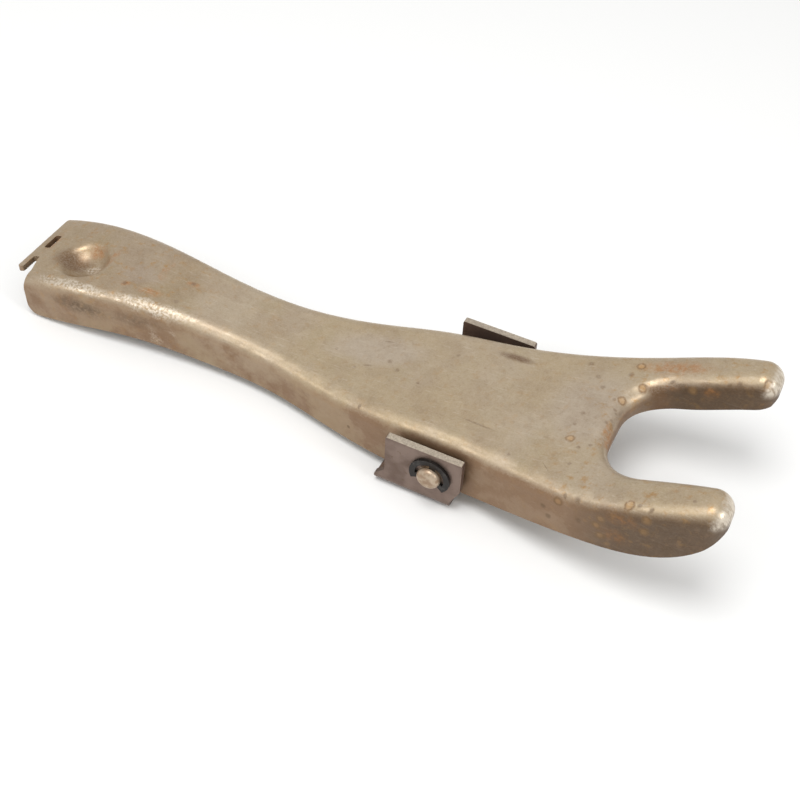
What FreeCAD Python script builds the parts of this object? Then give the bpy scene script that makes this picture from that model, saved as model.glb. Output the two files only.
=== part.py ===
import FreeCAD, Part
import os
import Sketcher

# Clutch release fork: a pressed sheet channel that ends in two tines, swinging on a pin in a folded
# steel bracket. Millimetres. The origin is the middle of the bracket's bolt holes, on its underside.
# X runs along the fork to the tines, Y along the pivot pin, Z up from the face that is bolted down.

# Driving dimensions. Each one is a cell of the sheet, and every sketch and feature reads it there.
SIZES = {
    # Pressed fork: sheet and edge bend
    "fork_gauge": 3.0,
    "fork_edge_radius": 6.4,
    "trim_margin": 6.0,
    # Pressed fork: gap for the release bearing and the tine tips
    "gap_root": 68.6,
    "gap_half_width": 26.0,
    "gap_root_half_flat": 6.0,
    "gap_mouth_flare": 1.4,
    "gap_lip_at_root": 31.8,
    "gap_lip_at_corner": 34.6,
    "gap_lip_at_tine": 42.8,
    "gap_lip_at_tip": 48.8,
    "tine_outer_corner_excess": 1.0,
    "tine_inner_corner_excess": 0.8,
    # Pressed fork: cup for the release rod
    "cup_along": -182.5,
    "cup_aside": -4.6,
    "cup_ball_radius": 14.0,
    "cup_floor": 17.6,
    "cup_rim_radius": 5.0,
    # Pressed fork: tail end with the spring slot and the hook beside it
    "tail_end": -211.0,
    "tail_wall_inset": 9.6,
    "tail_toe_radius": 5.0,
    "hook_strip": 3.2,
    "hook_root": -8.6,
    "hook_tip": -16.9,
    "hook_heel": -10.4,
    "hook_shoulder": -18.6,
    "hook_rounding": 1.1,
    "slot_width": 3.5,
    "slot_length": 9.6,
    "slot_aside": 3.1,
    # Pivot pin
    "pin_along": 8.0,
    "pin_height": 17.2,
    "pin_radius": 5.0,
    "pin_overhang": 4.0,
    "pin_end_radius": 2.2,
    "pin_ear_clearance": 0.03,
    "pin_fork_clearance": 0.08,
    "groove_depth": 0.8,
    # Retaining clips
    "clip_gauge": 1.2,
    "clip_radius": 8.8,
    "clip_band": 2.5,
    "clip_prong_width": 2.6,
    "clip_prong_turn": 118.0,
    "clip_mouth_turn": 52.0,
    "clip_roll": 10.0,
    "clip_clearance": 0.1,
    # Pivot bracket
    "bracket_gauge": 2.9,
    "bracket_fork_clearance": 2.2,
    "bracket_bend_radius": 1.2,
    "base_length": 33.4,
    "ear_left": -12.2,
    "ear_right": 21.0,
    "ear_height": 29.1,
    "ear_left_shoulder": 9.0,
    "ear_right_shoulder": 13.0,
    "ear_corner_radius": 1.0,
    "bolt_hole_radius": 4.25,
    "bolt_spacing": 28.0,
}

# Stations along the fork, from the tail to the root of the gap: place, half width, height of the
# back and height of the lip of the side walls. The pivot's station is at the wider end of the ears.
STATION_SIZES = ("along", "half_width", "back", "lip")
STATIONS = {
    "blank": (-216.0, 24.2, 16.4, -0.95),
    "heel": (-180.0, 25.4, 24.7, 3.2),
    "neck": (-147.0, 22.0, 27.3, 6.5),
    "waist": (-112.0, 18.9, 25.4, 5.2),
    "hip": (-76.0, 19.8, 23.7, 4.5),
    "flare": (-45.0, 25.6, 24.4, 4.0),
    "entry": (-15.0, 30.6, 28.9, 4.5),
    "pivot": (20.0, 33.8, 33.2, 7.3),
    "crotch": (68.0, 43.0, 42.3, 19.6),
}

# Stations of the tines, which stand beside the gap: place, a tine's width, height of its back and
# height of its outer lip.
TINE_SIZES = ("along", "width", "back", "lip")
TINES = {
    "tine": (106.0, 19.0, 58.5, 33.5),
    "tip": (120.6, 17.3, 63.6, 51.2),
}

TOUCH = 0.01
FLAT = 0.7

doc = FreeCAD.newDocument("clutch_fork")
sheet = doc.addObject("Spreadsheet::Sheet", "Sizes")


def fill_sheet():
    sizes = dict(SIZES)
    for stations, names in ((STATIONS, STATION_SIZES), (TINES, TINE_SIZES)):
        for station, numbers in stations.items():
            for size, number in zip(names, numbers):
                sizes[station + "_" + size] = number
    for row, (alias, number) in enumerate(sizes.items(), start=1):
        sheet.set("A%d" % row, alias.replace("_", " "))
        sheet.set("B%d" % row, str(number))
        sheet.setAlias("B%d" % row, alias)
    doc.recompute()


# Expressions and sketches


def value(expression):
    return float(sheet.evalExpression(expression))


def point(across, up):
    return FreeCAD.Vector(value(across), value(up), 0)


def new_body(label):
    body = doc.addObject("PartDesign::Body", label)
    body.Label = label
    return body


def new_sketch(body, name, role, rise=None):
    """A sketch on one of the body's own planes, or at a height over it."""
    sketch = body.newObject("Sketcher::SketchObject", name)
    plane = [item for item in body.Origin.OriginFeatures if item.Role == role][0]
    sketch.AttachmentSupport = [(plane, "")]
    sketch.MapMode = "FlatFace"
    if rise:
        sketch.setExpression("AttachmentOffset.Base.z", rise)
    return sketch


def hold_point(sketch, geometry, end, across, up):
    for kind, expression in (("DistanceX", across), ("DistanceY", up)):
        held = Sketcher.Constraint(kind, -1, 1, geometry, end, value(expression))
        sketch.setExpression("Constraints[%d]" % sketch.addConstraint(held), expression)


def join(sketch, first, first_end, second, second_end):
    sketch.addConstraint(Sketcher.Constraint("Coincident", first, first_end, second, second_end))


def add_chain(sketch, corners):
    """Straight lines from corner to corner. Gives the first and the last line."""
    lines = []
    for start, finish in zip(corners, corners[1:]):
        line = sketch.addGeometry(Part.LineSegment(point(*start), point(*finish)), False)
        if lines:
            join(sketch, lines[-1], 2, line, 1)
            hold_point(sketch, line, 1, *start)
        lines.append(line)
    return lines[0], lines[-1]


def add_polygon(sketch, corners):
    first, last = add_chain(sketch, corners + corners[:1])
    join(sketch, last, 2, first, 1)
    hold_point(sketch, first, 1, *corners[0])


def add_box(sketch, left, right, low, high):
    add_polygon(sketch, [(left, low), (right, low), (right, high), (left, high)])


def add_curve(sketch, places):
    """A smooth curve through the places, each held where its sizes put it."""
    curve = Part.BSplineCurve()
    curve.interpolate([point(*place) for place in places])
    spline = sketch.addGeometry(curve, False)
    hold_point(sketch, spline, 1, *places[0])
    hold_point(sketch, spline, 2, *places[-1])
    for number, place in enumerate(places[1:-1], start=1):
        knot = sketch.addGeometry(Part.Point(point(*place)), True)
        on_curve = "InternalAlignment:Sketcher::BSplineKnotPoint"
        sketch.addConstraint(Sketcher.Constraint(on_curve, knot, 1, spline, number))
        hold_point(sketch, knot, 1, *place)
    return spline


def add_corner(sketch, middle, radius, start, finish):
    """A quarter circle, from its start counterclockwise to its finish."""
    outward = (point(*start) + point(*finish)) * 0.5 - point(*middle)
    outward.Length = value(radius)
    halfway = point(*middle) + outward
    arc = sketch.addGeometry(Part.Arc(point(*start), halfway, point(*finish)), False)
    for end, place in ((1, start), (2, finish)):
        hold_point(sketch, arc, end, *place)
    size = sketch.addConstraint(Sketcher.Constraint("Radius", arc, value(radius)))
    sketch.setExpression("Constraints[%d]" % size, radius)
    return arc


def add_circle(sketch, across, up, radius):
    middle = point(across, up)
    circle = sketch.addGeometry(Part.Circle(middle, FreeCAD.Vector(0, 0, 1), value(radius)), False)
    hold_point(sketch, circle, 3, across, up)
    size = sketch.addConstraint(Sketcher.Constraint("Radius", circle, value(radius)))
    sketch.setExpression("Constraints[%d]" % size, radius)


# Features


def pad(body, sketch, name, length):
    feature = body.newObject("PartDesign::Pad", name)
    feature.Profile = sketch
    feature.setExpression("Length", length)
    doc.recompute()
    return feature


def pocket(body, sketch, name, length):
    """Cuts the sketch's outline away, half the length to each side of its plane."""
    before = body.Shape.Volume
    feature = body.newObject("PartDesign::Pocket", name)
    feature.Profile = sketch
    feature.Midplane = True
    feature.setExpression("Length", length)
    doc.recompute()
    if body.Shape.Volume > before - TOUCH:
        raise RuntimeError(name + " cuts nothing")
    return feature


def fillet(body, name, radius, wanted):
    """Rounds the edges of the body for which wanted(edge) is true."""
    base = body.Tip
    edges = [edge for edge in enumerate(base.Shape.Edges, start=1) if wanted(edge[1])]
    if not edges:
        raise RuntimeError(name + " finds no edge")
    feature = body.newObject("PartDesign::Fillet", name)
    feature.Base = (base, ["Edge%d" % number for number, edge in edges])
    feature.setExpression("Radius", radius)
    doc.recompute()
    return feature


def runs_along(edge, axis):
    """True for a straight edge parallel to the axis."""
    if len(edge.Vertexes) != 2:
        return False
    first, last = (vertex.Point for vertex in edge.Vertexes)
    return abs(abs((last - first).dot(axis)) - edge.Length) < TOUCH


def shares_edge(edge, faces):
    return any(edge.isSame(other) for face in faces for other in face.Edges)


ALONG = FreeCAD.Vector(1, 0, 0)
ASIDE = FreeCAD.Vector(0, 1, 0)
UPRIGHT = FreeCAD.Vector(0, 0, 1)


# Pressed fork

NO_INSET = "0"
FORK_DEPTH = "4 * Sizes.tip_back"
FORK_BREADTH = "4 * (Sizes.gap_half_width + Sizes.tine_width)"
GAP_CORNER_RADIUS = "Sizes.gap_half_width - Sizes.gap_root_half_flat"


def add_profile_side(sketch, curve, beyond):
    """The waste on one side of a curve in the side view, out to a height beyond it."""
    spline = add_curve(sketch, curve)
    behind = curve[0][0] + " - Sizes.trim_margin"
    ahead = curve[-1][0] + " + Sizes.trim_margin"
    corners = [curve[-1], (ahead, curve[-1][1]), (ahead, beyond), (behind, beyond)]
    first, last = add_chain(sketch, corners + [(behind, curve[0][1]), curve[0]])
    join(sketch, spline, 2, first, 1)
    join(sketch, last, 2, spline, 1)


def cut_gap(body, inset):
    """The gap between the tines: a flat root, round corners and sides that open a little outwards."""
    sketch = new_sketch(body, body.Label + "_gap", "XY_Plane")
    radius = "%s + %s" % (GAP_CORNER_RADIUS, inset)
    root = "Sizes.gap_root - " + inset
    side_start = "Sizes.gap_root + " + GAP_CORNER_RADIUS
    side = "Sizes.gap_half_width + " + inset
    flat = "Sizes.gap_root_half_flat"
    mouth = "Sizes.tip_along + Sizes.trim_margin"
    mouth_side = "Sizes.gap_half_width + Sizes.gap_mouth_flare + " + inset
    near_side, near_root = (side_start, "-(%s)" % side), (root, "-" + flat)
    far_side, far_root = (side_start, side), (root, flat)
    mouth_ends = [(mouth, "-(%s)" % mouth_side), (mouth, mouth_side)]
    first, last = add_chain(sketch, [near_side] + mouth_ends + [far_side])
    far_corner = add_corner(sketch, (side_start, flat), radius, far_side, far_root)
    near_corner = add_corner(sketch, (side_start, "-" + flat), radius, near_root, near_side)
    across = sketch.addGeometry(Part.LineSegment(point(*far_root), point(*near_root)), False)
    join(sketch, last, 2, far_corner, 1)
    join(sketch, far_corner, 2, across, 1)
    join(sketch, across, 2, near_corner, 1)
    join(sketch, near_corner, 2, first, 1)
    pocket(body, sketch, body.Label + "_gap_cut", FORK_DEPTH)


def press_cup(body, inset):
    """The round cup that the release rod pushes in, as part of a ball sunk into the back."""
    sketch = new_sketch(body, body.Label + "_cup", "XZ_Plane", "-Sizes.cup_aside")
    sketch.setExpression("AttachmentOffset.Base.x", "Sizes.cup_along")
    height = "Sizes.cup_floor + Sizes.cup_ball_radius"
    radius = "Sizes.cup_ball_radius + " + inset
    middle = value(height)
    reach = value(radius)
    low = FreeCAD.Vector(0, middle - reach, 0)
    high = FreeCAD.Vector(0, middle + reach, 0)
    side = FreeCAD.Vector(reach, middle, 0)
    arc = sketch.addGeometry(Part.Arc(low, side, high), False)
    axis = sketch.addGeometry(Part.LineSegment(low, high), False)
    join(sketch, arc, 1, axis, 1)
    join(sketch, arc, 2, axis, 2)
    hold_point(sketch, arc, 3, "0", height)
    for end in (1, 2):
        sketch.addConstraint(Sketcher.Constraint("PointOnObject", arc, end, -2))
    size = sketch.addConstraint(Sketcher.Constraint("Radius", arc, value(radius)))
    sketch.setExpression("Constraints[%d]" % size, radius)
    doc.recompute()
    ball = body.newObject("PartDesign::Groove", body.Label + "_cup_cut")
    ball.Profile = sketch
    ball.ReferenceAxis = (sketch, ["V_Axis"])
    ball.Angle = 360
    doc.recompute()
    round_faces = [face for face in ball.Shape.Faces if face.Surface.TypeId == "Part::GeomSphere"]
    others = [face for face in ball.Shape.Faces if face.Surface.TypeId != "Part::GeomSphere"]
    fillet(
        body,
        body.Label + "_cup_rim",
        "Sizes.cup_rim_radius - " + inset,
        lambda edge: shares_edge(edge, round_faces) and shares_edge(edge, others),
    )


def press_form(body, inset):
    """The fork's form filled in to below its lips, with the inset taken off its back and sides."""
    far_side = []
    for name in STATIONS:
        far_side.append(("Sizes.%s_along" % name, "Sizes.%s_half_width - %s" % (name, inset)))
    for name in TINES:
        aside = "Sizes.gap_half_width + Sizes.%s_width - %s" % (name, inset)
        far_side.append(("Sizes.%s_along" % name, aside))
    far_side[-1] = ("Sizes.tip_along - " + inset, far_side[-1][1])
    near_side = [(along, "-(%s)" % aside) for along, aside in far_side]

    plan = new_sketch(body, body.Label + "_plan", "XY_Plane", "-2 * Sizes.trim_margin")
    far_curve = add_curve(plan, far_side)
    near_curve = add_curve(plan, near_side)
    for end, which in ((1, 0), (2, -1)):
        line = Part.LineSegment(point(*near_side[which]), point(*far_side[which]))
        cross = plan.addGeometry(line, False)
        join(plan, cross, 1, near_curve, end)
        join(plan, cross, 2, far_curve, end)
    pad(body, plan, body.Label + "_blank", "Sizes.tip_back + 3 * Sizes.trim_margin")
    cut_gap(body, inset)

    tip = value(far_side[-1][0])
    middle = value("Sizes.gap_half_width + (Sizes.tip_width + Sizes.gap_mouth_flare) / 2")

    def is_tip_corner(edge, outer):
        place = edge.CenterOfMass
        at_tip = runs_along(edge, UPRIGHT) and abs(place.x - tip) < TOUCH
        return at_tip and (abs(place.y) > middle) == outer

    for corner, outer in (("outer", True), ("inner", False)):
        excess = "Sizes.tine_%s_corner_excess" % corner
        radius = "Sizes.fork_edge_radius + %s - %s" % (excess, inset)
        name = "%s_%s_corners" % (body.Label, corner)
        fillet(body, name, radius, lambda edge: is_tip_corner(edge, outer))

    profile = new_sketch(body, body.Label + "_profile", "XZ_Plane")
    names = list(STATIONS) + list(TINES)
    back = [("Sizes.%s_along" % name, "Sizes.%s_back - %s" % (name, inset)) for name in names]
    add_profile_side(profile, back, "Sizes.tip_back + 2 * Sizes.trim_margin")
    if inset == NO_INSET:
        lip = [("Sizes.%s_along" % name, "Sizes.%s_lip" % name) for name in names]
        add_profile_side(profile, lip, "-3 * Sizes.trim_margin")
    doc.recompute()
    pocket(body, profile, body.Label + "_profile_cut", FORK_BREADTH)

    facing_up = [face for face in body.Tip.Shape.Faces if upward(face)]
    blank_end = value("Sizes.blank_along")
    fillet(
        body,
        body.Label + "_edge_bend",
        "Sizes.fork_edge_radius - " + inset,
        lambda edge: shares_edge(edge, facing_up) and edge.BoundBox.XMax > blank_end + TOUCH,
    )
    press_cup(body, inset)


def upward(face):
    first_u, last_u, first_v, last_v = face.ParameterRange
    return face.normalAt((first_u + last_u) / 2, (first_v + last_v) / 2).z > FLAT


def trim_flange(body):
    """The flange round the gap stops well above the lips of the outer walls."""
    sketch = new_sketch(body, "gap_flange_trim", "XZ_Plane")
    lip = [
        ("Sizes.gap_root", "Sizes.gap_lip_at_root"),
        ("Sizes.gap_root + " + GAP_CORNER_RADIUS, "Sizes.gap_lip_at_corner"),
        ("Sizes.tine_along", "Sizes.gap_lip_at_tine"),
        ("Sizes.tip_along", "Sizes.gap_lip_at_tip"),
    ]
    add_profile_side(sketch, lip, "-2 * Sizes.trim_margin")
    doc.recompute()
    breadth = "2 * (Sizes.gap_half_width + Sizes.gap_mouth_flare) + 3 * Sizes.fork_gauge"
    pocket(body, sketch, "gap_flange_lip", breadth)


def trim_tail(body):
    """The tail's end: a straight far part, the spring hook, and the near wall set back."""
    behind = "Sizes.blank_along - Sizes.trim_margin"
    reach = "Sizes.heel_half_width + Sizes.trim_margin"
    strip = "Sizes.tail_end + Sizes.hook_strip"
    throat = "Sizes.tail_end + Sizes.hook_strip + Sizes.slot_width"
    wall = "Sizes.tail_end + Sizes.tail_wall_inset"
    corners = [
        (behind, "-(%s)" % reach),
        (wall, "-(%s)" % reach),
        (wall, "Sizes.hook_shoulder"),
        (throat, "Sizes.hook_heel"),
        (throat, "Sizes.hook_root"),
        (strip, "Sizes.hook_root"),
        (strip, "Sizes.hook_tip"),
        ("Sizes.tail_end", "Sizes.hook_tip"),
        ("Sizes.tail_end", reach),
        (behind, reach),
    ]
    outline = new_sketch(body, "tail_outline", "XY_Plane")
    add_polygon(outline, corners)
    pocket(body, outline, "tail_trim", FORK_DEPTH)

    slot = new_sketch(body, "spring_slot", "XY_Plane")
    low = "Sizes.slot_aside - Sizes.slot_length / 2"
    high = "Sizes.slot_aside + Sizes.slot_length / 2"
    add_box(slot, strip, throat, low, high)
    pocket(body, slot, "spring_slot_cut", FORK_DEPTH)

    tail_places = [value("Sizes.tail_end"), value(strip), value(throat)]
    hook_places = [value("Sizes.hook_tip"), value("Sizes.hook_root")]
    slot_places = [value(low), value(high)]

    def is_small_corner(edge):
        place = edge.CenterOfMass
        across = any(abs(place.x - along) < TOUCH for along in tail_places)
        aside = any(abs(place.y - other) < TOUCH for other in hook_places + slot_places)
        return runs_along(edge, UPRIGHT) and across and aside

    fillet(body, "hook_and_slot_rounding", "Sizes.hook_rounding", is_small_corner)

    wall_ends = [value("Sizes.tail_end"), value(wall)]

    def is_toe(edge):
        place = edge.CenterOfMass
        at_end = any(abs(place.x - along) < TOUCH for along in wall_ends)
        low_down = place.z < value("Sizes.heel_lip + Sizes.fork_gauge")
        return runs_along(edge, ASIDE) and at_end and low_down

    fillet(body, "tail_toes", "Sizes.tail_toe_radius", is_toe)


def build_fork():
    hollow = new_body("fork_hollow")
    press_form(hollow, "Sizes.fork_gauge")
    fork = new_body("pressed_fork")
    press_form(fork, NO_INSET)
    drawn = fork.newObject("PartDesign::Boolean", "fork_sheet")
    drawn.Type = "Cut"
    drawn.setObjects([hollow])
    doc.recompute()
    trim_flange(fork)
    trim_tail(fork)
    hole = new_sketch(fork, "fork_pin_hole", "XZ_Plane")
    radius = "Sizes.pin_radius + Sizes.pin_fork_clearance"
    add_circle(hole, "Sizes.pin_along", "Sizes.pin_height", radius)
    pocket(fork, hole, "fork_pin_holes", FORK_BREADTH)
    return fork


# Pivot bracket

BRACKET_SIDE = "Sizes.pivot_half_width + Sizes.bracket_fork_clearance + Sizes.bracket_gauge"


def build_bracket():
    bracket = new_body("pivot_bracket")
    base_half = "Sizes.base_length / 2"
    inner = "Sizes.pivot_half_width + Sizes.bracket_fork_clearance"
    top = "Sizes.ear_height"
    breadth = "4 * (%s)" % BRACKET_SIDE

    section = new_sketch(bracket, "bracket_section", "YZ_Plane", "-(%s)" % base_half)
    near_side = "-(%s)" % BRACKET_SIDE
    corners = [(near_side, "0"), (BRACKET_SIDE, "0"), (BRACKET_SIDE, top), (inner, top)]
    corners += [(inner, "Sizes.bracket_gauge"), ("-(%s)" % inner, "Sizes.bracket_gauge")]
    corners += [("-(%s)" % inner, top), (near_side, top)]
    add_polygon(section, corners)
    pad(bracket, section, "bracket_strip", "Sizes.ear_right + " + base_half)

    def is_bend(edge, aside, height):
        place = edge.CenterOfMass
        at_bend = abs(abs(place.y) - value(aside)) < TOUCH and abs(place.z - value(height)) < TOUCH
        return runs_along(edge, ALONG) and at_bend

    fillet(
        bracket,
        "bends_inside",
        "Sizes.bracket_bend_radius",
        lambda edge: is_bend(edge, inner, "Sizes.bracket_gauge"),
    )
    fillet(
        bracket,
        "bends_outside",
        "Sizes.bracket_bend_radius + Sizes.bracket_gauge",
        lambda edge: is_bend(edge, BRACKET_SIDE, "0"),
    )

    blank = new_sketch(bracket, "bracket_blank_trim", "XZ_Plane")
    bend_top = "Sizes.bracket_bend_radius + Sizes.bracket_gauge"
    ahead = "Sizes.ear_right + Sizes.trim_margin"
    behind = "-(%s) - Sizes.trim_margin" % base_half
    above = "Sizes.ear_height + Sizes.trim_margin"
    below = "-Sizes.trim_margin"
    corners = [(base_half, below), (ahead, below), (ahead, "Sizes.ear_right_shoulder")]
    corners += [("Sizes.ear_right", "Sizes.ear_right_shoulder"), (base_half, bend_top)]
    add_polygon(blank, corners)
    corners = [("-(%s)" % base_half, bend_top), ("Sizes.ear_left", "Sizes.ear_left_shoulder")]
    corners += [("Sizes.ear_left", above), (behind, above), (behind, bend_top)]
    add_polygon(blank, corners)
    pocket(bracket, blank, "bracket_outline", breadth)

    def is_ear_corner(edge):
        return runs_along(edge, ASIDE) and abs(edge.CenterOfMass.z - value(top)) < TOUCH

    fillet(bracket, "ear_corners", "Sizes.ear_corner_radius", is_ear_corner)

    bolts = new_sketch(bracket, "bolt_holes", "XY_Plane")
    for aside in ("Sizes.bolt_spacing / 2", "-Sizes.bolt_spacing / 2"):
        add_circle(bolts, "0", aside, "Sizes.bolt_hole_radius")
    pocket(bracket, bolts, "bolt_hole_cut", "4 * Sizes.bracket_gauge")

    hole = new_sketch(bracket, "ear_pin_hole", "XZ_Plane")
    radius = "Sizes.pin_radius + Sizes.pin_ear_clearance"
    add_circle(hole, "Sizes.pin_along", "Sizes.pin_height", radius)
    pocket(bracket, hole, "ear_pin_holes", breadth)
    return bracket


# Pivot pin and its clips


def build_pin():
    pin = new_body("pivot_pin")
    end = BRACKET_SIDE + " + Sizes.pin_overhang"
    groove_near = BRACKET_SIDE
    groove_far = BRACKET_SIDE + " + Sizes.clip_gauge + 2 * Sizes.clip_clearance"
    radius = "Sizes.pin_radius"
    waist = "Sizes.pin_radius - Sizes.groove_depth"
    upper = [(radius, groove_near), (waist, groove_near), (waist, groove_far), (radius, groove_far)]
    upper += [(radius, end), ("0", end)]
    lower = [(across, "-(%s)" % up) for across, up in reversed(upper)]
    half = new_sketch(pin, "pin_half_section", "XY_Plane")
    add_polygon(half, lower + upper)
    doc.recompute()
    turned = pin.newObject("PartDesign::Revolution", "pin_turned")
    turned.Profile = half
    turned.ReferenceAxis = (half, ["V_Axis"])
    turned.Angle = 360
    doc.recompute()

    def is_end_edge(edge):
        at_end = abs(abs(edge.CenterOfMass.y) - value(end)) < TOUCH
        return at_end and edge.Curve.TypeId == "Part::GeomCircle"

    fillet(pin, "pin_end_rounding", "Sizes.pin_end_radius", is_end_edge)
    pin.setExpression("Placement.Base.x", "Sizes.pin_along")
    pin.setExpression("Placement.Base.z", "Sizes.pin_height")
    return pin


def build_clip(label, outer_face):
    """A flat clip of three prongs, snapped over the pin's groove. outer_face is where its far side is."""
    clip = new_body(label)
    inner = "Sizes.clip_radius - Sizes.clip_band"
    bore = "Sizes.pin_radius - Sizes.groove_depth + Sizes.clip_clearance"
    ring = new_sketch(clip, label + "_ring", "XZ_Plane")
    for radius in ("Sizes.clip_radius", inner):
        add_circle(ring, "0", "0", radius)
    pad(clip, ring, label + "_band", "Sizes.clip_gauge")

    prong = new_sketch(clip, label + "_prong", "XZ_Plane")
    half = "Sizes.clip_prong_width / 2"
    reach = "Sizes.clip_radius - Sizes.clip_band / 2"
    add_box(prong, "-(%s)" % half, half, half, reach)
    first = pad(clip, prong, label + "_prong_pad", "Sizes.clip_gauge")
    for way in (False, True):
        row = clip.newObject("PartDesign::PolarPattern", label + "_prongs")
        row.Originals = [first]
        row.Axis = (prong, ["N_Axis"])
        row.setExpression("Angle", "Sizes.clip_prong_turn")
        row.Mode = "Extent"
        row.Occurrences = 2
        row.Reversed = way
        clip.Tip = row
        doc.recompute()

    throat = new_sketch(clip, label + "_bore", "XZ_Plane")
    add_circle(throat, "0", "0", bore)
    pocket(clip, throat, label + "_bore_cut", "4 * Sizes.clip_gauge")

    mouth = new_sketch(clip, label + "_mouth", "XZ_Plane")
    depth = "2 * Sizes.clip_radius"
    spread = "2 * Sizes.clip_radius * tan(Sizes.clip_mouth_turn * 1 deg)"
    add_polygon(mouth, [("0", "0"), ("-(%s)" % spread, "-(%s)" % depth), (spread, "-(%s)" % depth)])
    pocket(clip, mouth, label + "_mouth_cut", "4 * Sizes.clip_gauge")

    clip.Placement.Rotation = FreeCAD.Rotation(ASIDE, value("Sizes.clip_roll"))
    clip.setExpression("Placement.Base.x", "Sizes.pin_along")
    clip.setExpression("Placement.Base.y", outer_face)
    clip.setExpression("Placement.Base.z", "Sizes.pin_height")
    return clip


# The whole assembly

fill_sheet()
ear_gap = BRACKET_SIDE + " + Sizes.clip_clearance"
pieces = [
    build_fork(),
    build_bracket(),
    build_pin(),
    build_clip("near_clip", "-(%s)" % ear_gap),
    build_clip("far_clip", ear_gap + " + Sizes.clip_gauge"),
]
doc.recompute()

for thing in doc.Objects:
    if "Invalid" in thing.State or "Error" in thing.State:
        raise RuntimeError(thing.Label + " failed: " + thing.getStatusString())
for piece in pieces:
    if piece.Shape.isNull() or not piece.Shape.isValid():
        raise RuntimeError(piece.Label + " has no valid shape")
    if len(piece.Shape.Solids) != 1:
        raise RuntimeError(piece.Label + " is not one solid")

os.makedirs("parts", exist_ok=True)
for piece in pieces:
    piece.Shape.exportStep("parts/%s.step" % piece.Label)
    box = piece.Shape.BoundBox
    print("%-14s %10.1f mm3" % (piece.Label, piece.Shape.Volume), box)
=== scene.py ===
import math

import bpy
from mathutils import Matrix, Vector


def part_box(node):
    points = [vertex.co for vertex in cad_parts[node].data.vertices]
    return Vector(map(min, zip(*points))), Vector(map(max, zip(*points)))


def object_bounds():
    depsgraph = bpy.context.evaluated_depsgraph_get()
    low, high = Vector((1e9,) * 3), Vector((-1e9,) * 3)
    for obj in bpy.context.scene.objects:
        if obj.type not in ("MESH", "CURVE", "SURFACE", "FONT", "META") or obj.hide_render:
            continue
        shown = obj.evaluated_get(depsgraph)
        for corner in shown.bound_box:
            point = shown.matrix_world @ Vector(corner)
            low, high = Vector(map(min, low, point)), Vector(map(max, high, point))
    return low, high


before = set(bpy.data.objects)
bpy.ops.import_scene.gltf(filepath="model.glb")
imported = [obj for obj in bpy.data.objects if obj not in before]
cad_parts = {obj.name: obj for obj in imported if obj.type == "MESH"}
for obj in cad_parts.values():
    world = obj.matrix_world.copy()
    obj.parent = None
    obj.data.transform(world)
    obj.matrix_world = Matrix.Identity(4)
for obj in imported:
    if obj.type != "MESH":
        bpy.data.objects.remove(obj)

# Clutch fork on its pivot bracket: materials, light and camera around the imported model. Metres.
# X runs along the fork to the tines, Y along the pivot pin, Z up from the bracket's base.

MM = 0.001
CAD_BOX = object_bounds()

# Camera: where it stands, its heading about Z, its height over the horizon, and its roll
CAMERA_PLACE = Vector((0.1178, -0.3191, 0.3846))
CAMERA_HEADING = math.radians(24.0)
CAMERA_HEIGHT = math.radians(46.94)
CAMERA_ROLL = math.radians(3.13)
CAMERA_LENS = 54.0
CAMERA_NEAR = 0.01

# Stage: the floor's side and how far it lies under the bracket's base, its looks, and the sky's light
FLOOR_SIZE = 12.0
FLOOR_GAP = 0.0004
FLOOR_COLOUR = (236, 236, 235)
FLOOR_ROUGHNESS = 0.9
FLOOR_SHINE = 0.1
WORLD_STRENGTH = 0.68

# Lamps: the point that all of them face, then each one's name, place, size and power
AIM = Vector((-0.03, 0.0, 0.02))
LAMPS = (
    ("lamp_over", Vector((-0.10, -0.30, 1.25)), 0.7, 9.0),
    ("lamp_front", Vector((-0.75, -0.85, 0.80)), 0.4, 2.0),
    ("lamp_tips", Vector((1.05, -0.25, 0.75)), 0.35, 3.0),
)

# Colours, as they look in daylight, from 0 to 255
STEEL_TAN = (177, 158, 128)
STEEL_GREY = (181, 166, 148)
STEEL_OLIVE = (166, 148, 112)
# Brown and dark film, also painted as shade on the fork's side walls
BROWN_FILM_AND_SHADE = (132, 104, 78)
DARK_FILM_AND_SHADE = (86, 67, 48)
RUST_PALE = (164, 122, 64)
RUST_ORANGE = (146, 97, 46)
# Umber for smudges, also used as painted shade in the cup
UMBER_SMUDGE_AND_SHADE = (106, 77, 50)
RUST_DARK = (94, 70, 44)
# Bare steel, also used for painted highlights on the near ridge and in the cup
BARE_STEEL_AND_GLINT = (220, 209, 192)
BRACKET_BROWN = (130, 112, 102)
BRACKET_DARK = (112, 94, 84)
BRACKET_PALE = (196, 184, 166)
PIN_STEEL = (184, 166, 144)
PIN_FILM = (152, 127, 104)
CLIP_BLACK = (37, 33, 31)
CLIP_GREY = (92, 88, 84)

# How far each piece looks like bare metal. For the fork: where it is clean, and where it is rusty
FORK_METAL = (0.60, 0.25)
BRACKET_METAL = 0.8
PIN_METAL = 0.65
CLIP_METAL = 0.6


def linear(colour):
    """The scene's own colour for one given from 0 to 255 as it looks on a screen."""
    channels = []
    for channel in colour:
        share = channel / 255
        low = share / 12.92
        channels.append(low if share <= 0.04045 else ((share + 0.055) / 1.055) ** 2.4)
    return (*channels, 1.0)


# Where the fork's looks change along it, in mm: from the first value to the second
WALL_FILM_AND_SHADE_REACH = (-90, 30)
TINE_WALL_REACH = (58, 88)
TINES_REACH = (44, 70)
TAIL_REACH = (-112, -136)
# The same in height, for the bare ends of the tines, and across, for the two faces seen from the side
BARE_END_REACH = (52, 57)
NEAR_WALL_REACH = (-24, -20)
FAR_FLANGE_REACH = (22, 18)
# The bracket's paler upper edge, sheared and partly painted light from above, in mm under its top
SHEARED_AND_LIT_REACH = (0.35, 0.1)

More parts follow.
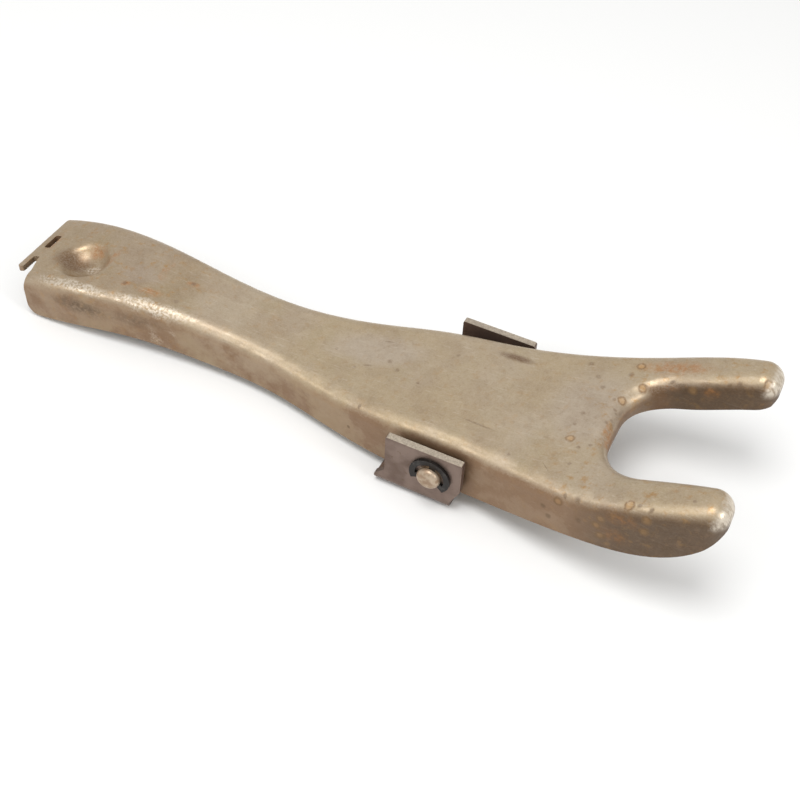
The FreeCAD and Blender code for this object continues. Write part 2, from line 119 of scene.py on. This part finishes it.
# Marks on the fork, in mm. Round ones are grouped by radius, each at its (x, y) seen from above or
# its (x, z) seen from the near side, on the near wall or on the far tine's flange. Long ones have
# their middle, length, width and turn in degrees.
RING_RADIUS = 2.0
RINGS_ABOVE = ((54.3, -13.5), (65.8, 13.4), (66.8, 33.3), (71.1, 22.1), (115.7, 29.2), (86.2, -42.0))
RINGS_ON_WALL = ((77.8, 37.9), (76.7, 33.6), (79.0, 29.0), (60.6, 34.8), (93.7, 47.4), (93.9, 41.3))
RINGS_ON_FLANGE = ((89.6, 45.6), (74.3, 35.9))
BLOT_RADIUS = 1.3
BLOTS_ABOVE = (
    (52.6, 23.2), (56.2, 17.9), (47.4, 30.0), (64.5, 27.6), (54.1, 1.1), (105.6, 27.5),
    (-154.7, -11.4), (-128.2, 2.8), (-128.6, -10.6), (-208.0, 0.9), (-25.1, -2.5), (-30.3, 1.4),
)
BLOTS_ON_WALL = ((67.7, 39.7), (69.9, 31.0), (55.1, 28.0), (58.0, 24.0), (86.2, 43.9))
BLOTS_ON_FLANGE = ((110.3, 55.4), (96.0, 47.6))
DOT_RADIUS = 0.85
DOTS_ABOVE = (
    (58.8, -17.3), (62.6, -14.9), (53.1, -5.4), (62.9, 12.2), (64.9, 7.7), (65.8, 6.4), (64.0, -0.3),
    (65.5, 1.9), (58.7, -26.4), (81.0, 27.2), (102.0, 27.4), (89.7, -42.0), (94.1, -43.0),
    (106.7, -38.2), (-42.8, -7.0), (-54.8, -0.3), (-13.7, -6.5), (-5.1, 14.8), (35.7, -29.4),
    (-30.3, -25.9),
)
DOTS_ON_WALL = ((62.6, 38.2), (-34.4, 11.9))
STREAKS_ABOVE = (
    (18.5, -19.0, 15.0, 1.1, -6),
    (50.8, -30.6, 5.0, 0.5, -48),
    (-36.0, 12.5, 4.0, 1.4, 10),
    (-38.0, -4.1, 4.0, 1.4, 20),
)
STAINS_ABOVE = (
    (66.4, -6.2, 5.4, 12.5, 8),
    (-141.5, -11.0, 14.0, 5.0, 10),
    (-142.8, 4.0, 4.0, 12.0, 6),
    (-182.0, 5.0, 10.0, 6.0, 0),
    (-170.2, 0.5, 4.0, 13.0, 0),
    (-154.7, -11.4, 6.0, 3.6, 0),
    (-128.2, 2.8, 6.0, 4.0, 0),
    (80.0, 33.5, 30.0, 8.0, 2),
    (-205.5, 3.2, 5.0, 13.0, 0),
)
STAINS_ON_WALL = (
    (86.4, 42.5, 16.0, 9.0, 20),
    (84.0, 33.0, 14.0, 9.0, 0),
)
STAINS_ON_FLANGE = (
    (79.0, 41.5, 14.0, 5.0, 24),
    (96.5, 47.5, 7.0, 5.0, 24),
)
SHADES_ABOVE = (
    # The cup's lower left: painted shade of its inner slope, over a brown stain
    (-189.0, -4.5, 20.0, 15.0, 20),
    (18.0, 22.4, 17.0, 4.6, -2),
    (77.0, 23.6, 14.0, 4.0, 12),
)
SHADES_ON_WALL = (
    (-170.0, 16.0, 34.0, 11.0, 0),
    (-142.0, 18.0, 40.0, 12.0, 6),
    (104.0, 47.0, 26.0, 12.0, 20),
)
SHADES_ON_FLANGE = (
    (80.0, 41.0, 20.0, 8.0, 24),
)
GREYS_ABOVE = (
    (-152.0, -3.0, 22.0, 14.0, 0),
    (-38.0, 6.0, 44.0, 20.0, 10),
    (56.0, 4.0, 34.0, 44.0, 0),
)
BARES_AND_GLINTS_ABOVE = (
    # Along the near ridge at the tail and in the cup: painted highlights over rubbed metal
    (-176.0, -21.0, 40.0, 5.0, 2),
    (-136.0, -17.5, 44.0, 6.0, 6),
    (-178.0, -4.0, 9.0, 8.0, 0),
)

# The near wall and the far tine's flange: their middle and half depth across, in mm
NEAR_WALL = (-34.0, 14.0)
FAR_FLANGE = (28.0, 5.0)
# Further than any mark, in metres
FAR_OFF = 1.0


# The sockets of a Mix node that take and give colours
MIX_FIRST = 6
MIX_SECOND = 7
MIX_RESULT = 2


class Graph:
    """A material and its node tree, with short calls for the nodes that are used here."""

    def __init__(self, name):
        self.material = bpy.data.materials.new(name)
        self.material.use_nodes = True
        self.tree = self.material.node_tree
        self.tree.nodes.clear()
        self.shader = self.tree.nodes.new("ShaderNodeBsdfPrincipled")
        out = self.tree.nodes.new("ShaderNodeOutputMaterial")
        self.tree.links.new(self.shader.outputs["BSDF"], out.inputs["Surface"])
        coordinates = self.tree.nodes.new("ShaderNodeTexCoord").outputs
        self.place = coordinates["Object"]
        self.facing = coordinates["Normal"]

    def feed(self, socket, source):
        """Links a node's output to the socket, or sets the socket to a plain value."""
        if isinstance(source, bpy.types.NodeSocket):
            self.tree.links.new(source, socket)
        else:
            socket.default_value = source

    def maths(self, operation, first, second=0.0, third=0.0, clamp=False):
        node = self.tree.nodes.new("ShaderNodeMath")
        node.operation = operation
        node.use_clamp = clamp
        for socket, source in zip(node.inputs, (first, second, third)):
            self.feed(socket, source)
        return node.outputs["Value"]

    def vector(self, operation, first, second=None):
        node = self.tree.nodes.new("ShaderNodeVectorMath")
        node.operation = operation
        self.feed(node.inputs[0], first)
        if second is not None:
            self.feed(node.inputs[1], second)
        return node.outputs["Value" if operation in ("LENGTH", "DISTANCE") else "Vector"]

    def split(self, source):
        node = self.tree.nodes.new("ShaderNodeSeparateXYZ")
        self.feed(node.inputs[0], source)
        return node.outputs

    def join(self, first, second, third=0.0):
        node = self.tree.nodes.new("ShaderNodeCombineXYZ")
        for socket, source in zip(node.inputs, (first, second, third)):
            self.feed(socket, source)
        return node.outputs["Vector"]

    def noise(self, size, detail=4.0, roughness=0.55, place=None, colour=False):
        """Noise whose features are about size millimetres across."""
        node = self.tree.nodes.new("ShaderNodeTexNoise")
        self.feed(node.inputs["Vector"], self.place if place is None else place)
        node.inputs["Scale"].default_value = 1 / (size * MM)
        node.inputs["Detail"].default_value = detail
        node.inputs["Roughness"].default_value = roughness
        return node.outputs["Color" if colour else "Fac"]

    def between(self, source, low, high, first=0.0, last=1.0):
        """Runs smoothly from first to last while the source goes from low to high."""
        node = self.tree.nodes.new("ShaderNodeMapRange")
        node.interpolation_type = "SMOOTHSTEP"
        self.feed(node.inputs["Value"], source)
        node.inputs["From Min"].default_value = low
        node.inputs["From Max"].default_value = high
        node.inputs["To Min"].default_value = first
        node.inputs["To Max"].default_value = last
        return node.outputs["Result"]

    def reached(self, source, reach, first=0.0, last=1.0):
        """Runs from first to last while the source goes over a reach given in mm."""
        return self.between(source, reach[0] * MM, reach[1] * MM, first, last)

    def combine(self, operation, *sources):
        """The least or the greatest of the sources, as the operation says."""
        result = sources[0]
        for source in sources[1:]:
            result = self.maths(operation, result, source)
        return result

    def mix(self, share, first, second):
        node = self.tree.nodes.new("ShaderNodeMix")
        node.data_type = "RGBA"
        self.feed(node.inputs["Factor"], share)
        self.feed(node.inputs[MIX_FIRST], first)
        self.feed(node.inputs[MIX_SECOND], second)
        return node.outputs[MIX_RESULT]

    def paint(self, colour, share, paint, strength=1.0):
        """Lays a paint, given from 0 to 255, over the colour so far."""
        if strength != 1.0:
            share = self.maths("MULTIPLY", share, strength)
        return self.mix(share, colour, linear(paint))

    def shaken(self, reach, size):
        """The place on the piece, moved about by up to reach mm, so that outlines aren't regular."""
        stir = self.vector("SUBTRACT", self.noise(size, detail=2.0, colour=True), (0.5, 0.5, 0.5))
        node = self.tree.nodes.new("ShaderNodeVectorMath")
        node.operation = "MULTIPLY_ADD"
        self.feed(node.inputs[0], stir)
        node.inputs[1].default_value = (2 * reach * MM,) * 3
        self.feed(node.inputs[2], self.place)
        return node.outputs["Vector"]

    def reach(self, place, middle, halves, turn=(0.0, 0.0, 0.0)):
        """Distance from the middle, as a share of the mark's half sizes: 1 on its outline."""
        node = self.tree.nodes.new("ShaderNodeMapping")
        node.vector_type = "TEXTURE"
        self.feed(node.inputs["Vector"], place)
        node.inputs["Location"].default_value = middle
        node.inputs["Rotation"].default_value = turn
        node.inputs["Scale"].default_value = halves
        return self.vector("LENGTH", node.outputs["Vector"])

    def bump(self, height, strength, distance, below=None):
        node = self.tree.nodes.new("ShaderNodeBump")
        self.feed(node.inputs["Strength"], strength)
        node.inputs["Distance"].default_value = distance * MM
        self.feed(node.inputs["Height"], height)
        if below is not None:
            self.tree.links.new(below, node.inputs["Normal"])
        return node.outputs["Normal"]

    def finish(self, colour, roughness, metal=0.0, normal=None):
        """Feeds the shader, and gives the material."""
        self.feed(self.shader.inputs["Base Color"], colour)
        self.feed(self.shader.inputs["Roughness"], roughness)
        self.feed(self.shader.inputs["Metallic"], metal)
        if normal is not None:
            self.feed(self.shader.inputs["Normal"], normal)
        return self.material


class ForkGraph(Graph):
    """The fork's material, with the places and the faces that its marks are set out on."""

    def __init__(self, name):
        super().__init__(name)
        self.along, aside, self.up = self.split(self.place)
        self.facing_along, facing_aside, facing_up = self.split(self.facing)
        self.steep = self.between(self.maths("ABSOLUTE", facing_up), 0.80, 0.20)
        self.at_tail = self.reached(self.along, TAIL_REACH)
        self.wide_shaken = self.shaken(2.2, 7.0)
        self.near_shaken = self.shaken(0.5, 3.0)
        shaken_along, shaken_aside, shaken_up = self.split(self.near_shaken)
        self.from_above = self.join(shaken_along, shaken_aside)
        self.from_side = self.join(shaken_along, shaken_up)
        # Added to a mark's distance, these keep it off the faces that it isn't on
        self.off_top = self.between(facing_up, 0.45, 0.15)
        off_side = self.between(facing_aside, -0.60, -0.30)
        self.off_wall = self.maths("ADD", off_side, self.reached(aside, NEAR_WALL_REACH))
        self.off_flange = self.maths("ADD", off_side, self.reached(aside, FAR_FLANGE_REACH))

    def by_face(self, on_back, on_walls):
        """One value on the fork's back, running to another on its walls."""
        return self.maths("MULTIPLY_ADD", self.steep, on_walls - on_back, on_back)

    def spots(self, place, middles, radius):
        """Distance to the nearest of the round marks, as a share of their radius: 1 on an outline."""
        nearest = FAR_OFF
        for middle in middles:
            spot = (middle[0] * MM, middle[1] * MM, 0.0)
            nearest = self.maths("MINIMUM", self.vector("DISTANCE", place, spot), nearest)
        return self.maths("MULTIPLY", nearest, 1 / (radius * MM))

    def round_marks(self, above, on_wall, on_flange, radius):
        """Distance to the nearest round mark on any of three faces. Each shows only on its own face."""
        nearest = self.maths("ADD", self.off_top, self.spots(self.from_above, above, radius))
        for middles, off_face in ((on_wall, self.off_wall), (on_flange, self.off_flange)):
            beside = self.maths("ADD", off_face, self.spots(self.from_side, middles, radius))
            nearest = self.maths("MINIMUM", nearest, beside)
        return nearest

    def long_marks(self, place, marks, face=None):
        """Distance to the nearest long mark, seen from above, or on a face that is given."""
        nearest = FAR_OFF / MM
        for along, other, length, width, turn in marks:
            if face:
                middle = (along, face[0], other)
                halves = (length / 2, face[1], width / 2)
                turns = (0.0, math.radians(-turn), 0.0)
            else:
                middle = (along, other, 0.0)
                halves = (length / 2, width / 2, FAR_OFF / MM)
                turns = (0.0, 0.0, math.radians(turn))
            middle = [size * MM for size in middle]
            halves = [size * MM for size in halves]
            nearest = self.maths("MINIMUM", self.reach(place, middle, halves, turns), nearest)
        return nearest


def lay_steel(graph):
    """Even satin steel with faint grey and olive clouds."""
    clouds = graph.between(graph.noise(42, detail=3.0), 0.40, 0.62, last=0.45)
    greys = graph.between(graph.long_marks(graph.wide_shaken, GREYS_ABOVE), 1.4, 0.5, last=0.75)
    olive = graph.between(graph.noise(24, detail=5.0), 0.50, 0.74, last=0.5)
    colour = graph.mix(graph.maths("MAXIMUM", clouds, greys), linear(STEEL_TAN), linear(STEEL_GREY))
    return graph.paint(colour, olive, STEEL_OLIVE)


def lay_film_and_wall_shade(graph, colour):
    """Brown film: a breath on the back, thick on the side walls and dark on the tines' walls. On the
    walls this brown and dark is also painted shade.
    """
    film = graph.between(graph.noise(15, detail=6.0, roughness=0.62), 0.40, 0.68)
    # Heavier on the steep side walls than on the back: painted shade on the walls, over real brown film
    film = graph.maths("MULTIPLY", film, graph.by_face(0.24, 0.59))
    # Brown laid over the side walls, more of it towards the tines: painted shade, partly real film
    on_walls = graph.reached(graph.along, WALL_FILM_AND_SHADE_REACH, first=0.50, last=0.85)
    on_walls = graph.maths("MULTIPLY", graph.steep, on_walls)
    colour = graph.paint(colour, graph.maths("ADD", film, on_walls, clamp=True), BROWN_FILM_AND_SHADE)
    # The tines' walls painted dark: painted shade, partly real brown film
    on_tines = graph.reached(graph.along, TINE_WALL_REACH, last=0.9)
    colour = graph.paint(colour, graph.maths("MULTIPLY", graph.steep, on_tines), DARK_FILM_AND_SHADE)
    worn_in = graph.between(graph.noise(2.4, detail=6.0, roughness=0.72), 0.48, 0.72, last=0.32)
    return graph.paint(colour, worn_in, BROWN_FILM_AND_SHADE)


def lay_rust_clouds(graph, colour):
    """Cloudy rust, most of it near the crotch, on the tines and at the tail."""
    regions = graph.maths("MAXIMUM", graph.reached(graph.along, TINES_REACH), graph.at_tail)
    mottle = graph.between(graph.noise(4.5, detail=6.0, roughness=0.68), 0.52, 0.70)
    mottle = graph.maths("MULTIPLY", mottle, graph.maths("MULTIPLY_ADD", regions, 0.5, 0.25))
    mottle = graph.maths("MULTIPLY", mottle, graph.by_face(1.0, 0.35))
    colour = graph.paint(colour, graph.at_tail, BROWN_FILM_AND_SHADE, 0.28)
    return graph.paint(colour, mottle, RUST_PALE)


def lay_stains(graph, colour):
    """Orange stains and umber smudges with soft outlines; the umber in the cup's lower left is also
    painted shade. Gives the stains' share too.
    """
    stains = graph.combine(
        "MINIMUM",
        graph.long_marks(graph.wide_shaken, STAINS_ABOVE),
        graph.long_marks(graph.wide_shaken, STAINS_ON_WALL, NEAR_WALL),
        graph.long_marks(graph.wide_shaken, STAINS_ON_FLANGE, FAR_FLANGE),
    )
    broken = graph.between(graph.noise(2.6, detail=5.0, roughness=0.7), 0.38, 0.60, first=0.15)
    stains = graph.maths("MULTIPLY", graph.between(stains, 1.3, 0.4), broken)
    colour = graph.paint(colour, stains, RUST_ORANGE, 0.8)
    # Umber smudges; the one in the cup is painted shade as well
    shades = graph.long_marks(graph.near_shaken, SHADES_ABOVE)
    return graph.paint(colour, graph.between(shades, 1.25, 0.3), UMBER_SMUDGE_AND_SHADE, 0.85), stains


def lay_wall_shades(graph, colour):
    """Dark granular patches on the walls. Gives their share too."""
    shades = graph.combine(
        "MINIMUM",
        graph.long_marks(graph.wide_shaken, SHADES_ON_WALL, NEAR_WALL),
        graph.long_marks(graph.wide_shaken, SHADES_ON_FLANGE, FAR_FLANGE),
    )
    granular = graph.between(graph.noise(1.9, detail=5.0, roughness=0.7), 0.36, 0.60, first=0.25)
    shades = graph.maths("MULTIPLY", graph.between(shades, 1.3, 0.5), granular)
    return graph.paint(colour, shades, DARK_FILM_AND_SHADE, 0.9), shades


def lay_rubbed_and_glints(graph, colour):
    """Bright flecks along the near edge and a bright spot in the cup: rubbed metal, partly painted
    highlight. Gives their share too.
    """
    # rubbed holds rubbed metal together with painted highlights
    rubbed = graph.between(graph.long_marks(graph.wide_shaken, BARES_AND_GLINTS_ABOVE), 1.2, 0.5)
    rubbed = graph.maths("MULTIPLY", rubbed, graph.between(graph.noise(1.1, detail=5.0), 0.38, 0.62))
    return graph.paint(colour, rubbed, BARE_STEEL_AND_GLINT, 0.75), rubbed


def lay_rings(graph, colour):
    """Rust rings: a brown line round a paler middle. Gives the share of their insides too."""
    rings = graph.round_marks(RINGS_ABOVE, RINGS_ON_WALL, RINGS_ON_FLANGE, RING_RADIUS)
    inside = graph.between(rings, 1.15, 0.70)
    edge = graph.maths("SUBTRACT", inside, graph.between(rings, 0.85, 0.35), clamp=True)
    colour = graph.paint(colour, inside, RUST_PALE, graph.by_face(0.6, 0.3))
    return graph.paint(colour, edge, RUST_DARK, 0.72), inside


def lay_dots(graph, colour):
    """Dark blots, dots and streaks. Gives their share too."""
    dots = graph.combine(
        "MINIMUM",
        graph.maths("ADD", graph.off_top, graph.long_marks(graph.near_shaken, STREAKS_ABOVE)),
        graph.round_marks(BLOTS_ABOVE, BLOTS_ON_WALL, BLOTS_ON_FLANGE, BLOT_RADIUS),
        graph.round_marks(DOTS_ABOVE, DOTS_ON_WALL, (), DOT_RADIUS),
    )
    dots = graph.between(dots, 1.3, 0.4)
    return graph.paint(colour, dots, RUST_DARK, 0.62), dots


def lay_fine_wear(graph, colour):
    """Specks, grain and scuffs all over the fork."""
    specks = graph.between(graph.noise(1.1, detail=3.0, roughness=0.6), 0.66, 0.74)
    colour = graph.paint(colour, specks, RUST_DARK, 0.25)
    grain = graph.between(graph.noise(0.7, detail=2.0), 0.3, 0.7)
    colour = graph.paint(colour, grain, BARE_STEEL_AND_GLINT, graph.by_face(0.14, 0.02))
    drawn_out = graph.vector("MULTIPLY", graph.place, (0.12, 1.0, 1.0))
    scuffs = graph.between(graph.noise(0.9, detail=3.0, place=drawn_out), 0.56, 0.74, last=0.20)
    return graph.paint(colour, scuffs, BARE_STEEL_AND_GLINT, graph.by_face(1.0, 0.2))


def lay_bare_ends(graph, colour):
    """The bare, streaky ends of the tines. Gives their share too."""
    nose = graph.maths("MULTIPLY", graph.noise(1.6, detail=5.0), 0.5)
    nose = graph.maths("ADD", graph.facing_along, nose)
    bare = graph.between(nose, 0.34, 0.80)
    bare = graph.maths("MULTIPLY", bare, graph.reached(graph.up, BARE_END_REACH))
    drawn_up = graph.vector("MULTIPLY", graph.place, (0.3, 1.0, 0.3))
    streaks = graph.noise(0.9, detail=3.0, place=drawn_up)
    streaks = graph.between(streaks, 0.36, 0.60, first=0.35, last=0.9)
    return graph.paint(colour, bare, BARE_STEEL_AND_GLINT, streaks), bare


def fork_material():
    """Worn satin steel, tan with a grey cast, with rust where the fork has it, painted shade on its
    walls and in the cup, and painted highlights on the near ridge.
    """
    graph = ForkGraph("fork_satin_steel")
    colour = lay_film_and_wall_shade(graph, lay_steel(graph))
    colour = lay_rust_clouds(graph, colour)
    colour, stains = lay_stains(graph, colour)
    colour, wall_shades = lay_wall_shades(graph, colour)
    # rubbed: rubbed metal and painted highlights on the near ridge and in the cup
    colour, rubbed = lay_rubbed_and_glints(graph, colour)
    colour, rings = lay_rings(graph, colour)
    colour, dots = lay_dots(graph, colour)
    colour = lay_fine_wear(graph, colour)
    colour, bare = lay_bare_ends(graph, colour)

    filmed = graph.maths("MULTIPLY", graph.steep, 0.45)
    rusty = graph.combine("MAXIMUM", stains, dots, rings, wall_shades, filmed)
    sheen = graph.noise(5.0, detail=5.0, roughness=0.6)
    satin = graph.between(sheen, 0.35, 0.68, first=0.34, last=0.48)
    satin = graph.maths("MULTIPLY_ADD", graph.maths("MAXIMUM", rubbed, bare), -0.08, satin)
    roughness = graph.maths("MULTIPLY_ADD", rusty, 0.22, satin)
    metal = graph.between(rusty, 0.0, 1.0, *FORK_METAL)
    hammered = graph.bump(graph.noise(9.0, detail=2.0), 0.30, 0.25)
    pitted = graph.maths("MULTIPLY_ADD", graph.at_tail, 0.35, 0.2)
    grained = graph.bump(graph.noise(0.9, detail=4.0, roughness=0.6), pitted, 0.05, below=hammered)
    return graph.finish(colour, roughness, metal, grained)


def bracket_material():
    """Dull brown-grey steel, paler and rough where the strip was sheared; the paler top is partly
    painted light from above.
    """
    graph = Graph("bracket_dull_steel")
    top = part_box("pivot_bracket")[1].z
    below_top = graph.maths("SUBTRACT", top, graph.split(graph.place)[2])
    clouds = graph.between(graph.noise(9, detail=5.0), 0.35, 0.68)
    colour = graph.mix(clouds, linear(BRACKET_BROWN), linear(BRACKET_DARK))
    speckle = graph.between(graph.noise(0.8, detail=3.0, roughness=0.7), 0.35, 0.65, first=0.55)
    # Paler top: sheared speckle, partly painted light from above
    colour = graph.paint(colour, graph.reached(below_top, SHEARED_AND_LIT_REACH), BRACKET_PALE, speckle)
    specks = graph.between(graph.noise(1.6, detail=3.0), 0.62, 0.72, last=0.4)
    colour = graph.paint(colour, specks, RUST_DARK)
    roughness = graph.between(clouds, 0.0, 1.0, 0.42, 0.56)
    grained = graph.bump(graph.noise(0.8, detail=4.0, roughness=0.65), 0.35, 0.06)
    return graph.finish(colour, roughness, BRACKET_METAL, grained)


def pin_material():
    """Turned steel, with fine rings on its ends and a tan film."""
    graph = Graph("pin_turned_steel")
    along, aside, up = graph.split(graph.vector("SUBTRACT", graph.place, node_middle("pivot_pin")))
    radius = graph.vector("LENGTH", graph.join(along, up))
    rings = graph.maths("SINE", graph.maths("MULTIPLY", radius, 2 * math.pi / (0.5 * MM)))
    clouds = graph.between(graph.noise(3.0, detail=5.0), 0.38, 0.66)
    colour = graph.mix(clouds, linear(PIN_STEEL), linear(PIN_FILM))
    roughness = graph.between(clouds, 0.0, 1.0, 0.40, 0.50)
    rings_cut = graph.bump(rings, 0.25, 0.02)
    grained = graph.bump(graph.noise(0.6, detail=4.0), 0.25, 0.04, below=rings_cut)
    return graph.finish(colour, roughness, PIN_METAL, grained)


def clip_material():
    """Black oxide spring steel, rubbed grey here and there."""
    graph = Graph("clip_black_oxide")
    rubbed = graph.between(graph.noise(1.8, detail=5.0, roughness=0.65), 0.52, 0.74, last=0.6)
    colour = graph.mix(rubbed, linear(CLIP_BLACK), linear(CLIP_GREY))
    roughness = graph.between(rubbed, 0.0, 0.6, 0.38, 0.5)
    grained = graph.bump(graph.noise(0.5, detail=3.0), 0.2, 0.03)
    return graph.finish(colour, roughness, CLIP_METAL, grained)


def node_middle(node):
    """The middle of a CAD node's box."""
    low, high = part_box(node)
    return (low + high) / 2


def dress(node, material):
    """Gives a CAD node its material."""
    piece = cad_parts[node]
    if not piece.material_slots:
        piece.data.materials.append(material)
    for slot in piece.material_slots:
        slot.material = material


def floor_material():
    graph = Graph("floor_pale")
    graph.shader.inputs["Specular IOR Level"].default_value = FLOOR_SHINE
    return graph.finish(linear(FLOOR_COLOUR), FLOOR_ROUGHNESS)


def build_floor():
    half = FLOOR_SIZE / 2
    height = CAD_BOX[0][2] - FLOOR_GAP
    corners = [(x, y, height) for x, y in ((-half, -half), (half, -half), (half, half), (-half, half))]
    mesh = bpy.data.meshes.new("floor")
    mesh.from_pydata(corners, [], [(0, 1, 2, 3)])
    floor = bpy.data.objects.new("floor", mesh)
    bpy.context.scene.collection.objects.link(floor)
    floor.data.materials.append(floor_material())


def build_lamp(name, place, size, power):
    lamp = bpy.data.lights.new(name, "AREA")
    lamp.shape = "DISK"
    lamp.size = size
    lamp.energy = power
    holder = bpy.data.objects.new(name, lamp)
    holder.location = place
    holder.rotation_euler = (AIM - place).to_track_quat("-Z", "Y").to_euler()
    bpy.context.scene.collection.objects.link(holder)


def build_world():
    world = bpy.data.worlds.new("studio")
    world.use_nodes = True
    world.node_tree.nodes["Background"].inputs["Color"].default_value = (1.0, 1.0, 1.0, 1.0)
    world.node_tree.nodes["Background"].inputs["Strength"].default_value = WORLD_STRENGTH
    bpy.context.scene.world = world


def build_camera():
    level = Vector((math.cos(CAMERA_HEADING), math.sin(CAMERA_HEADING), 0.0))
    back = Vector((math.sin(CAMERA_HEADING), -math.cos(CAMERA_HEADING), 0.0))
    back *= math.cos(CAMERA_HEIGHT)
    back.z = math.sin(CAMERA_HEIGHT)
    raised = back.cross(level)
    right = level * math.cos(CAMERA_ROLL) + raised * math.sin(CAMERA_ROLL)
    above = raised * math.cos(CAMERA_ROLL) - level * math.sin(CAMERA_ROLL)
    camera = bpy.data.objects.new("camera", bpy.data.cameras.new("camera"))
    camera.data.lens = CAMERA_LENS
    camera.data.clip_start = CAMERA_NEAR
    turned = Matrix((right, above, back)).transposed().to_4x4()
    camera.matrix_world = Matrix.Translation(CAMERA_PLACE) @ turned
    bpy.context.scene.collection.objects.link(camera)
    bpy.context.scene.camera = camera


def main():
    bpy.context.scene.view_settings.view_transform = "Standard"
    clip = clip_material()
    dress("pressed_fork", fork_material())
    dress("pivot_bracket", bracket_material())
    dress("pivot_pin", pin_material())
    dress("near_clip", clip)
    dress("far_clip", clip)
    build_floor()
    build_world()
    for name, place, size, power in LAMPS:
        build_lamp(name, place, size, power)
    build_camera()


main()
